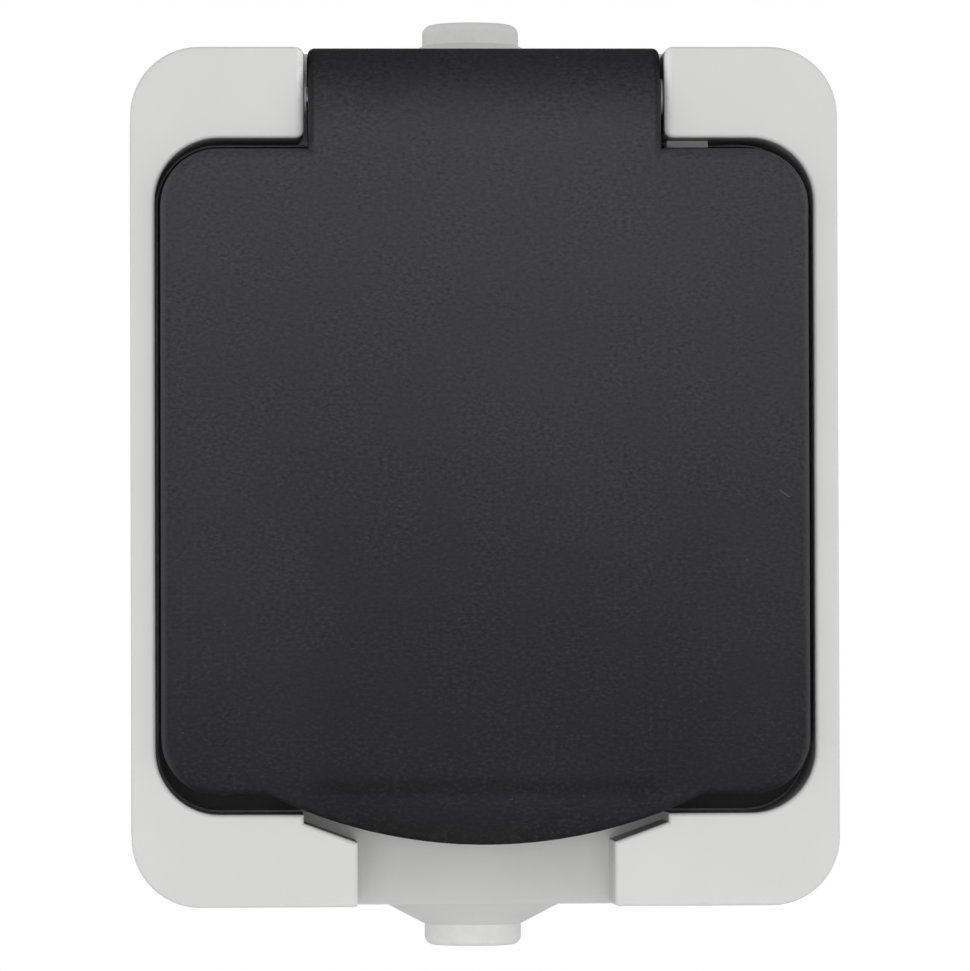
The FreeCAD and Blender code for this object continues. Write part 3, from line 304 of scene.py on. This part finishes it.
class Finish(Nodes):
    """One material's node tree, around its Principled shader."""

    def __init__(self, name):
        self.material = bpy.data.materials.new(name)
        self.material.use_nodes = True
        super().__init__(self.material.node_tree)
        self.shader = self.tree.nodes["Principled BSDF"]
        self.place = self.node("ShaderNodeTexCoord").outputs["Object"]

    def noise(self, width, detail=2.0, roughness=0.5, stretch=None):
        """Soft noise from 0 to 1 with lumps about as wide as a length."""
        place = self.place if stretch is None else self.stretched(stretch)
        made = self.node("ShaderNodeTexNoise", None, {"Vector": place, "Scale": 1 / width,
                                                      "Detail": detail, "Roughness": roughness})
        return Number(self.tree, made.outputs[0])

    def stretched(self, amounts):
        """The place on the piece, stretched along its axes."""
        made = self.node("ShaderNodeVectorMath", {"operation": "MULTIPLY"}, {0: self.place, 1: amounts})
        return made.outputs[0]

    def coordinates(self):
        """The place on the piece as three numbers."""
        return self.three(self.place)

    def facing(self):
        """The surface's own direction on the piece as three numbers."""
        return self.three(self.node("ShaderNodeTexCoord").outputs["Normal"])

    def mix(self, share, first, second):
        """One colour over another."""
        made = self.node("ShaderNodeMix", {"data_type": "RGBA"})
        self.feed(made.inputs["Factor"], share)
        for socket, given in zip((made.inputs[6], made.inputs[7]), (first, second)):
            self.feed(socket, given if isinstance(given, bpy.types.NodeSocket) else (*given, 1))
        return made.outputs[2]

    def colour(self, given):
        """The surface's colour."""
        self.feed(self.shader.inputs["Base Color"],
                  given if isinstance(given, bpy.types.NodeSocket) else (*given, 1))

    def rough(self, given):
        """How matt the surface is."""
        self.feed(self.shader.inputs["Roughness"], given)

    def bump(self, height, depth, under=None):
        """Relief of a depth in metres; returns the bump's normal for a finer one on top."""
        made = self.node("ShaderNodeBump", None, {"Height": height, "Distance": depth, "Strength": 1.0})
        if under is not None:
            self.tree.links.new(under, made.inputs["Normal"])
        self.tree.links.new(made.outputs[0], self.shader.inputs["Normal"])
        return made.outputs[0]

    def set(self, name, given):
        """A value that is the same all over, straight on the shader."""
        self.shader.inputs[name].default_value = given


def shaded(colour, amount):
    """A colour made darker or lighter by a factor."""
    return tuple(min(1.0, channel * amount) for channel in colour)


# Finishes


def shell_plastic(settings):
    """Light grey ABS with a fine mould grain and faint flow marks, with painted light on the rounds and
    painted shade on the walls beside the hinge.
    """
    finish = Finish("light_grey_abs")
    colour = tuple(settings.colour)
    broad = finish.noise(0.018, 3.0, 0.6)
    fine = finish.noise(0.0009, 4.0, 0.7)
    flowed = finish.mix(finish.between(broad, 0.35, 0.7), shaded(colour, 0.985), shaded(colour, 1.012))
    mottled = finish.mix(finish.between(fine, 0.60, 0.80) * 0.35, flowed, shaded(colour, 0.955))
    across, deep, up = finish.coordinates()
    sideways = abs(finish.facing()[0])
    in_front = deep < -settings.gap_depth
    hinge_gap = (abs(across) < settings.gap_half) * (up > settings.gap_up) * in_front
    # Painted light: the ears' rounds beside the hinge are lightened, with a little noise.
    edge_light = hinge_gap * finish.between(sideways, 0.05, 0.4) * finish.between(fine, 0.3, 0.5)
    rubbed_and_lit = finish.mix(edge_light * 0.55, mottled, (0.86, 0.86, 0.86))
    # Painted shade: the ears' walls that face the lid's knuckle are darkened towards the gap colour.
    painted_shade = hinge_gap * finish.between(sideways, 0.84, 0.96) * (0.55 + 0.4 * fine)
    finish.colour(finish.mix(painted_shade, rubbed_and_lit, tuple(settings.gap_shade_colour)))
    finish.rough(settings.roughness + 0.10 * fine)
    finish.set("Specular IOR Level", 0.4)
    grain = finish.noise(settings.grain, 3.0, 0.65)
    first = finish.bump(grain, 0.000012)
    finish.bump(broad, 0.00006, first)
    return finish.material


def lid_light_and_shade(finish, settings):
    """The lid's colour with painted light and shade: painted light below the knuckle, painted shade on the
    knuckle's top, in the lip's crease, at the lip's end and underneath.
    """
    across, _, up = finish.coordinates()
    upwards = finish.facing()[2]
    # Painted light and shade: darker towards the lip, lighter below the knuckle.
    lower = finish.mix(finish.between(up, *LOW_TO_MIDDLE), tuple(settings.shade_colour),
                       tuple(settings.colour))
    upper = finish.mix(finish.between(up, *MIDDLE_TO_HIGH), lower, tuple(settings.lit_colour))
    # Painted shade on the knuckle's top.
    arched = finish.mix(lid_brow(finish), upper, tuple(settings.brow_shade_colour))
    # Painted shade in the lip's crease, at the lip's end and on faces that look down.
    crease = 1 - finish.between(abs(up - settings.crease_up), *CREASE_SOFT)
    ends = 1 - finish.between(abs(across), settings.crease_half - CREASE_FADE, settings.crease_half)
    lip_end = 1 - finish.between(up, *LIP_END)
    under = finish.between(-1 * upwards, 0.35, 0.8)
    light = (1 - crease * ends * 0.6) * (1 - lip_end * 0.55) * (1 - under * 0.75)
    return finish.mix(1 - light, arched, shaded(settings.shade_colour, 0.4))


def lid_brow(finish):
    """How near a place is to the knuckle's top, from 0 to 1."""
    return finish.between(finish.coordinates()[2], *KNUCKLE_TOP)


def lid_scratch(finish, settings):
    """1 on the fine slanting scratch, 0 elsewhere."""
    slant = math.radians(SCRATCH_SLANT)
    across, _, up = finish.coordinates()
    aside = across - settings.scratch_across
    above = up - settings.scratch_up
    line = abs(aside * math.sin(slant) + above * math.cos(slant))
    along = abs(aside * math.cos(slant) - above * math.sin(slant))
    return (line < settings.scratch_width) * (along < settings.scratch_length / 2)


def lid_plastic(settings):
    """Anthracite plastic with a spark grain, worn grain tips, painted highlights on the side edges, painted
    shade on the knuckle's sides, and one fine scratch.
    """
    finish = Finish("anthracite_grain")
    fleck = tuple(settings.fleck)
    grain = finish.noise(settings.grain, 3.0, 0.6, (0.62, 1, 1))
    coarse = finish.noise(settings.grain * 2.2, 2.0, 0.5, (0.5, 1, 1))
    drift = finish.noise(0.024, 2.0, 0.5)
    worn = finish.noise(0.0052, 3.0, 0.6)
    dust = finish.noise(settings.grain * 1.7, 1.0, 0.5)
    across, _, up = finish.coordinates()
    cloudy = finish.mix(0.05 * finish.between(drift, 0.35, 0.68), lid_light_and_shade(finish, settings), fleck)

    depth = 0.5 + 0.5 * finish.between(worn, 0.38, 0.62)
    tips = finish.between(grain, 0.50, 0.64) * depth
    pits = finish.between(1 - grain, 0.52, 0.66) * depth
    share = (0.12 + 0.12 * finish.between(up, *RUBBED_AREA)) * (1 - 0.6 * lid_brow(finish))
    rubbed_and_lit = finish.mix(tips * share + 0.6 * finish.between(dust, 0.76, 0.84), cloudy, fleck)
    pitted = finish.mix(pits * 0.34, rubbed_and_lit, shaded(settings.shade_colour, 0.55))

    # Painted highlight: the lid's rounded side edges are lightened towards the fleck colour, away from the
    # knuckle.
    sideways = abs(finish.facing()[0])
    knuckle = abs(across) < settings.knuckle_half
    side_highlight = finish.mix(finish.between(sideways, 0.3, 0.95) * 0.36 * (1 - knuckle), pitted, fleck)
    # Painted shade on the knuckle's sides.
    cheek_shade = finish.between(sideways, 0.04, 0.32) * finish.between(up, *KNUCKLE_CHEEKS) * knuckle
    edged = finish.mix(cheek_shade * 0.5, side_highlight, tuple(settings.shade_colour))

    finish.colour(finish.mix(lid_scratch(finish, settings) * 0.8, edged, fleck))
    finish.rough(settings.roughness + 0.16 * grain - 0.05 * drift)
    finish.set("Specular IOR Level", 0.12)
    first = finish.bump(grain, 0.00003)
    second = finish.bump(coarse, 0.00007, first)
    finish.bump(drift, 0.00005, second)
    return finish.material


def insert_plastic(settings):
    """The dark, finely grained plastic of the insert and the contact tray."""
    finish = Finish("insert_plastic")
    colour = tuple(settings.insert_colour)
    fine = finish.noise(0.0006, 3.0, 0.6)
    grain = finish.noise(0.00032, 3.0, 0.6)
    broad = finish.noise(0.008, 2.0, 0.5)
    tone = finish.mix(finish.between(broad, 0.3, 0.7), shaded(colour, 0.9), shaded(colour, 1.12))
    finish.colour(finish.mix(finish.between(grain, 0.5, 0.66) * 0.3, tone, shaded(colour, 2.2)))
    finish.rough(0.46 + 0.12 * fine)
    finish.set("Specular IOR Level", 0.3)
    first = finish.bump(grain, 0.00002)
    finish.bump(fine, 0.00001, first)
    return finish.material


def seal_rubber(settings):
    """Black, slightly dusty rubber."""
    finish = Finish("seal_rubber")
    colour = tuple(settings.seal_colour)
    dust = finish.noise(0.0012, 5.0, 0.7)
    finish.colour(finish.mix(finish.between(dust, 0.5, 0.75) * 0.5, colour, shaded(colour, 2.2)))
    finish.rough(0.72 + 0.1 * dust)
    finish.bump(finish.noise(0.0003, 3.0, 0.6), 0.000015)
    return finish.material


def grommet_rubber(settings):
    """Soft light grey rubber with a faint bloom."""
    finish = Finish("grommet_rubber")
    colour = tuple(settings.grommet_colour)
    bloom = finish.noise(0.0016, 4.0, 0.65)
    finish.colour(finish.mix(finish.between(bloom, 0.4, 0.7), shaded(colour, 0.97), shaded(colour, 1.02)))
    finish.rough(0.62 + 0.1 * bloom)
    finish.set("Specular IOR Level", 0.3)
    finish.bump(finish.noise(0.0004, 3.0, 0.6), 0.00001)
    return finish.material


def plated_steel(settings):
    """Zinc-plated steel with fine drawing lines and small dull spots."""
    finish = Finish("plated_steel")
    colour = tuple(settings.steel_colour)
    lines = finish.noise(0.0005, 4.0, 0.7, (0.12, 1, 1))
    spots = finish.noise(0.0011, 3.0, 0.6)
    finish.colour(finish.mix(finish.between(spots, 0.5, 0.75) * 0.5, colour, shaded(colour, 0.7)))
    finish.set("Metallic", 1.0)
    finish.rough(0.26 + 0.2 * lines + 0.1 * spots)
    finish.bump(lines, 0.000008)
    return finish.material


def contact_brass(settings):
    """Pressed brass, duller where it has been handled."""
    finish = Finish("contact_brass")
    colour = tuple(settings.brass_colour)
    dull = finish.noise(0.002, 4.0, 0.6)
    lines = finish.noise(0.0006, 3.0, 0.6, (1, 0.15, 1))
    finish.colour(finish.mix(finish.between(dull, 0.45, 0.7) * 0.6, colour, shaded(colour, 0.6)))
    finish.set("Metallic", 1.0)
    finish.rough(0.24 + 0.22 * dull)
    finish.bump(lines, 0.000006)
    return finish.material


def floor_paint(settings):
    """A pale matt floor."""
    finish = Finish("pale_floor")
    colour = tuple(settings.floor_colour)
    fine = finish.noise(0.02, 3.0, 0.6)
    finish.colour(finish.mix(finish.between(fine, 0.3, 0.7), shaded(colour, 0.99), colour))
    finish.rough(0.9)
    return finish.material


def backdrop_paint(settings):
    """A backdrop that looks white itself and in mirrors, and lights nothing more than a matt wall."""
    finish = Finish("white_backdrop")
    finish.colour(tuple(settings.floor_colour))
    path = finish.node("ShaderNodeLightPath")
    seen = Number(finish.tree, path.outputs["Is Camera Ray"])
    for ray in ("Is Glossy Ray", "Is Transmission Ray"):
        seen = seen + Number(finish.tree, path.outputs[ray])
    white = finish.node("ShaderNodeEmission", None, {"Color": (1, 1, 1, 1), "Strength": 1.0})
    choice = finish.node("ShaderNodeMixShader", None, {0: seen, 1: finish.shader.outputs[0],
                                                       2: white.outputs[0]})
    finish.tree.links.new(choice.outputs[0], finish.tree.nodes["Material Output"].inputs[0])
    return finish.material


# Pieces


def dress(material, *names):
    """Give CAD nodes a finish."""
    for name in names:
        node = NODES[name]
        node.data.materials.clear()
        node.data.materials.append(material)


def new_piece(name, material, body):
    """An empty mesh object that rides on a body."""
    mesh = bpy.data.meshes.new(name)
    piece = bpy.data.objects.new(name, mesh)
    bpy.context.scene.collection.objects.link(piece)
    mesh.materials.append(material)
    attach(piece, body)
    return piece


def swept_wire(piece, points, radius, sides=12):
    """Fill a piece with a round wire along points, closed at both ends."""
    shape = bmesh.new()
    rings = []
    side = None
    for index, point in enumerate(points):
        before = points[max(index - 1, 0)]
        after = points[min(index + 1, len(points) - 1)]
        along = (after - before).normalized()
        side = along.orthogonal() if side is None else side - along * side.dot(along)
        side.normalize()
        other = along.cross(side)
        turns = [2 * math.pi * step / sides for step in range(sides)]
        rings.append([shape.verts.new(point + radius * (math.cos(turn) * side + math.sin(turn) * other))
                      for turn in turns])
    for first, second in zip(rings, rings[1:]):
        for step in range(sides):
            following = (step + 1) % sides
            shape.faces.new((first[step], first[following], second[following], second[step]))
    shape.faces.new(rings[0])
    shape.faces.new(reversed(rings[-1]))
    bmesh.ops.recalc_face_normals(shape, faces=shape.faces)
    shape.to_mesh(piece.data)
    shape.free()
    for face in piece.data.polygons:
        face.use_smooth = len(face.vertices) == 4


# Operators


class SOCKET_OT_shells(bpy.types.Operator):
    """Finish the light grey box and cover"""
    bl_idname = "socket.shells"
    bl_label = "Shells"

    def execute(self, context):
        dress(shell_plastic(context.scene.socket_housing), "back_box", "front_cover")
        return {"FINISHED"}


class SOCKET_OT_lid(bpy.types.Operator):
    """Finish the dark lid"""
    bl_idname = "socket.lid"
    bl_label = "Lid"

    def execute(self, context):
        dress(lid_plastic(context.scene.socket_lid), "lid")
        return {"FINISHED"}


class SOCKET_OT_insert(bpy.types.Operator):
    """Finish the insert with the plug well and the tray that carries the contacts"""
    bl_idname = "socket.insert"
    bl_label = "Insert"

    def execute(self, context):
        dress(insert_plastic(context.scene.socket_rubber), "socket_insert", "contact_face",
              "contact_carrier", "carrier_cover")
        return {"FINISHED"}


class SOCKET_OT_seals(bpy.types.Operator):
    """Finish the seals and the cable grommets"""
    bl_idname = "socket.seals"
    bl_label = "Seals and grommets"

    def execute(self, context):
        settings = context.scene.socket_rubber
        dress(seal_rubber(settings), "box_seal", "well_seal", "lid_gasket")
        dress(grommet_rubber(settings), "top_grommet", "bottom_grommet")
        return {"FINISHED"}


class SOCKET_OT_metal(bpy.types.Operator):
    """Finish the screws, the hinge pin and the contacts"""
    bl_idname = "socket.metal"
    bl_label = "Metal pieces"

    def execute(self, context):
        settings = context.scene.socket_metal
        dress(plated_steel(settings), "cover_screws", "well_screw", "carrier_screws", "terminal_screws",
              "earth_screw", "earth_clamp", "hinge_pin", "contact_clips", "hinge_spring")
        dress(contact_brass(settings), "live_contact", "neutral_contact", "earth_strap")
        return {"FINISHED"}


class SOCKET_OT_spring(bpy.types.Operator):
    """Wind the hinge spring: a leg that swings with the lid, and the coil with a leg under the catch"""
    bl_idname = "socket.spring"
    bl_label = "Hinge spring"

    def execute(self, context):
        settings = context.scene.socket_metal
        steel = bpy.data.materials["plated_steel"]
        right_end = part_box("hinge_spring")[1][0] - settings.wire_radius
        middle = Vector((right_end, HINGE_PLACE.y, HINGE_PLACE.z))
        lid_leg = new_piece("hinge_spring_lid_leg", steel, "lid")
        swept_wire(lid_leg, lid_leg_points(settings, middle), settings.wire_radius)
        coil = new_piece("hinge_spring_coil", steel, "root")
        swept_wire(coil, catch_leg_points(settings, middle), settings.wire_radius)
        for piece in (lid_leg, coil):
            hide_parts("hinge_spring")
        return {"FINISHED"}


def lid_leg_points(settings, middle):
    """The wire from the tip behind the lid up to the pin and round its first turn."""
    start = middle + Vector((0, -settings.coil_radius, 0))
    tip = start + Vector((0, 0, -settings.leg_drop))
    leg = [tip.lerp(start, step / LEG_STEPS) for step in range(LEG_STEPS)]
    return leg + coil_points(settings, middle, 0, settings.lid_turn)


def catch_leg_points(settings, middle):
    """The wire of the other turns, and straight on to the catch below and behind the pin."""
    catch = Vector((0, settings.catch_depth, -settings.catch_drop))
    lean = math.atan2(catch.y, -catch.z) - math.asin(settings.coil_radius / catch.length)
    turns = settings.coil_turns - lean / (2 * math.pi)
    points = coil_points(settings, middle, settings.lid_turn - TURN_LAP, turns)
    end = middle + catch
    end.x = points[-1].x
    return points + [points[-1].lerp(end, step / LEG_STEPS) for step in range(1, LEG_STEPS + 1)]


def coil_points(settings, middle, first, last):
    """The middle line of the spring's turns, from one turn to another, wound towards the left."""
    steps = round((last - first) * TURN_STEPS)
    points = []
    for step in range(steps + 1):
        turn = first + (last - first) * step / steps
        angle = 2 * math.pi * turn
        along = -settings.coil_pitch * turn
        behind = -settings.coil_radius * math.cos(angle)
        above = settings.coil_radius * math.sin(angle)
        points.append(middle + Vector((along, behind, above)))
    return points


class SOCKET_OT_stage(bpy.types.Operator):
    """Place the camera, the floor and the soft lights"""
    bl_idname = "socket.stage"
    bl_label = "Camera and stage"

    def execute(self, context):
        settings = context.scene.socket_stage
        front = CAD_BOX[0][1] + LID_PROUD
        make_camera(settings, front)
        make_floor(settings)
        make_backdrop(settings)
        make_lights(settings, front)
        make_world(settings)
        context.scene.view_settings.view_transform = "Standard"
        return {"FINISHED"}


def make_camera(settings, front):
    """A long lens a little to the left of and below the middle."""
    data = bpy.data.cameras.new("photo_camera")
    camera = bpy.data.objects.new("photo_camera", data)
    bpy.context.scene.collection.objects.link(camera)
    camera.location = (settings.offset_across, front - settings.distance, settings.offset_up)
    aim = Vector((settings.aim_across, front, settings.aim_up))
    turned = (aim - camera.location).to_track_quat("-Z", "Y").to_matrix()
    camera.rotation_euler = (turned @ Matrix.Rotation(settings.roll, 3, "Z")).to_euler()
    data.sensor_fit = "HORIZONTAL"
    data.sensor_width = 36
    data.lens = settings.lens
    data.clip_start = 0.05
    bpy.context.scene.camera = camera


def stage_plane(name, corners, material):
    """One flat four-sided stage piece."""
    mesh = bpy.data.meshes.new(name)
    mesh.from_pydata(corners, [], [(0, 1, 2, 3)])
    plane = bpy.data.objects.new(name, mesh)
    bpy.context.scene.collection.objects.link(plane)
    mesh.materials.append(material)


def make_floor(settings):
    """A wide pale floor below the object."""
    reach = 3.0
    low = -settings.floor_drop
    corners = [(-reach, -reach, low), (reach, -reach, low), (reach, reach, low), (-reach, reach, low)]
    stage_plane("floor", corners, floor_paint(settings))


def make_backdrop(settings):
    """A white wall well behind the object."""
    reach = 2.4
    low = -settings.floor_drop
    back = settings.wall_distance
    corners = [(-reach, back, low), (reach, back, low), (reach, back, reach), (-reach, back, reach)]
    stage_plane("backdrop", corners, backdrop_paint(settings))


def area_light(name, lamp, front, power):
    """A soft rectangular lamp that points at the middle of the cover's front."""
    across, ahead, up, width, height = lamp
    data = bpy.data.lights.new(name, "AREA")
    data.shape = "RECTANGLE"
    data.size = width
    data.size_y = height
    data.energy = power
    made = bpy.data.objects.new(name, data)
    bpy.context.scene.collection.objects.link(made)
    made.location = (across, front - ahead, up)
    aim = Vector((0, front, 0)) - made.location
    made.rotation_euler = aim.to_track_quat("-Z", "Y").to_euler()


def make_lights(settings, front):
    """A large soft lamp at each side and a stronger one in front, a little below the camera."""
    across, *rest = SIDE_LAMP
    area_light("left_lamp", (-across, *rest), front, settings.left_power)
    area_light("right_lamp", SIDE_LAMP, front, settings.left_power * settings.right_share)
    area_light("front_lamp", FRONT_LAMP, front, settings.front_power)


def make_world(settings):
    """Soft light that is strongest from both sides and behind, and weak from above and below."""
    world = bpy.data.worlds.new("studio_light")
    bpy.context.scene.world = world
    world.use_nodes = True
    nodes = Nodes(world.node_tree)
    across, deep, up = nodes.three(nodes.node("ShaderNodeTexCoord").outputs["Generated"])
    side = nodes.between(abs(across), 0.35, 0.85)
    behind = nodes.between(deep, -0.1, 0.5)
    level = 1 - nodes.between(abs(up), 0.25, 0.75)
    bright = (1 - (1 - side) * (1 - behind)) * level
    lit = nodes.tree.nodes["Background"]
    nodes.feed(lit.inputs["Color"], (1, 1, 1, 1))
    nodes.feed(lit.inputs["Strength"], settings.sky_low + (settings.sky_high - settings.sky_low) * bright)


class SOCKET_PT_panel(bpy.types.Panel):
    """The socket's sizes, colours and pieces"""
    bl_idname = "SOCKET_PT_panel"
    bl_label = "Weatherproof socket"
    bl_space_type = "VIEW_3D"
    bl_region_type = "UI"
    bl_category = "Socket"

    def draw(self, context):
        for name, settings in SETTINGS.items():
            box = self.layout.box()
            for key in settings.__annotations__:
                box.prop(getattr(context.scene, name), key)
        for operator in OPERATORS:
            self.layout.operator(operator.bl_idname)


SETTINGS = {
    "socket_housing": HousingSettings,
    "socket_lid": LidSettings,
    "socket_rubber": RubberSettings,
    "socket_metal": MetalSettings,
    "socket_stage": StageSettings,
}
OPERATORS = [SOCKET_OT_stage, SOCKET_OT_shells, SOCKET_OT_lid, SOCKET_OT_insert, SOCKET_OT_seals,
             SOCKET_OT_metal, SOCKET_OT_spring]


def register():
    """Make the settings, the operators and the panel known."""
    for name, settings in SETTINGS.items():
        bpy.utils.register_class(settings)
        setattr(bpy.types.Scene, name, bpy.props.PointerProperty(type=settings))
    for shown in OPERATORS + [SOCKET_PT_panel]:
        bpy.utils.register_class(shown)


def unregister():
    """Take them away again."""
    for shown in reversed(OPERATORS + [SOCKET_PT_panel]):
        bpy.utils.unregister_class(shown)
    for name, settings in SETTINGS.items():
        delattr(bpy.types.Scene, name)
        bpy.utils.unregister_class(settings)


def main():
    """Build the whole scene."""
    register()
    for operator in OPERATORS:
        group, name = operator.bl_idname.split(".")
        getattr(getattr(bpy.ops, group), name)()


if __name__ == "__main__":
    main()
